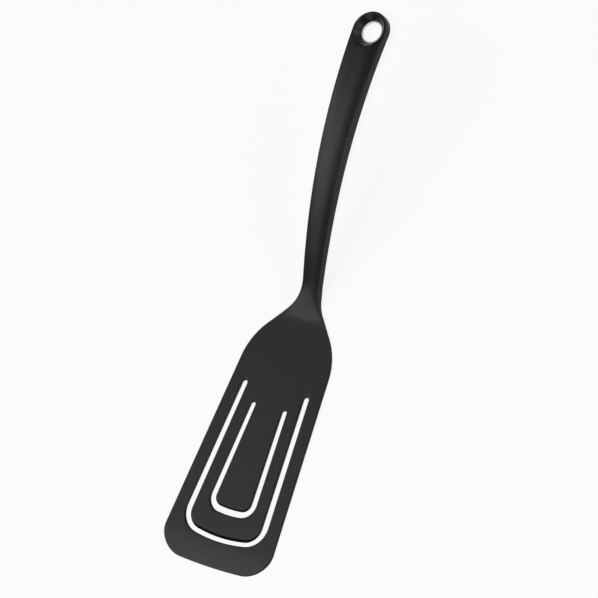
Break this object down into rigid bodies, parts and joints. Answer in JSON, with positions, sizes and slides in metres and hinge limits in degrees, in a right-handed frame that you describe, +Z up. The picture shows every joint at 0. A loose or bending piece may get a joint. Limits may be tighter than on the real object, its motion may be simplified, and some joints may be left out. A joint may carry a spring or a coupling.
{
  "type": "kitchen turner",
  "caption": "One-piece black plastic slotted turner: thin blade with nested U slots, raised neck, crowned handle with a flared hanging hole lined by a pale ring.",
  "frame": {"origin": "middle of the part's length and width, on the surface that the blade's underside lies on", "axes": "+X from the blade's front edge to the handle's round end, +Z up out of the blade's top, +Y to the left when looking along +X from above"},
  "size_m": [0.3254, 0.076, 0.0457],
  "materials": {
    "body": "finely grained matt black nylon",
    "eyelet": "smooth pale grey plastic"
  },
  "bodies": {
    "root": {"turner_body": "body", "hang_eyelet": "eyelet"}
  },
  "joints": []
}
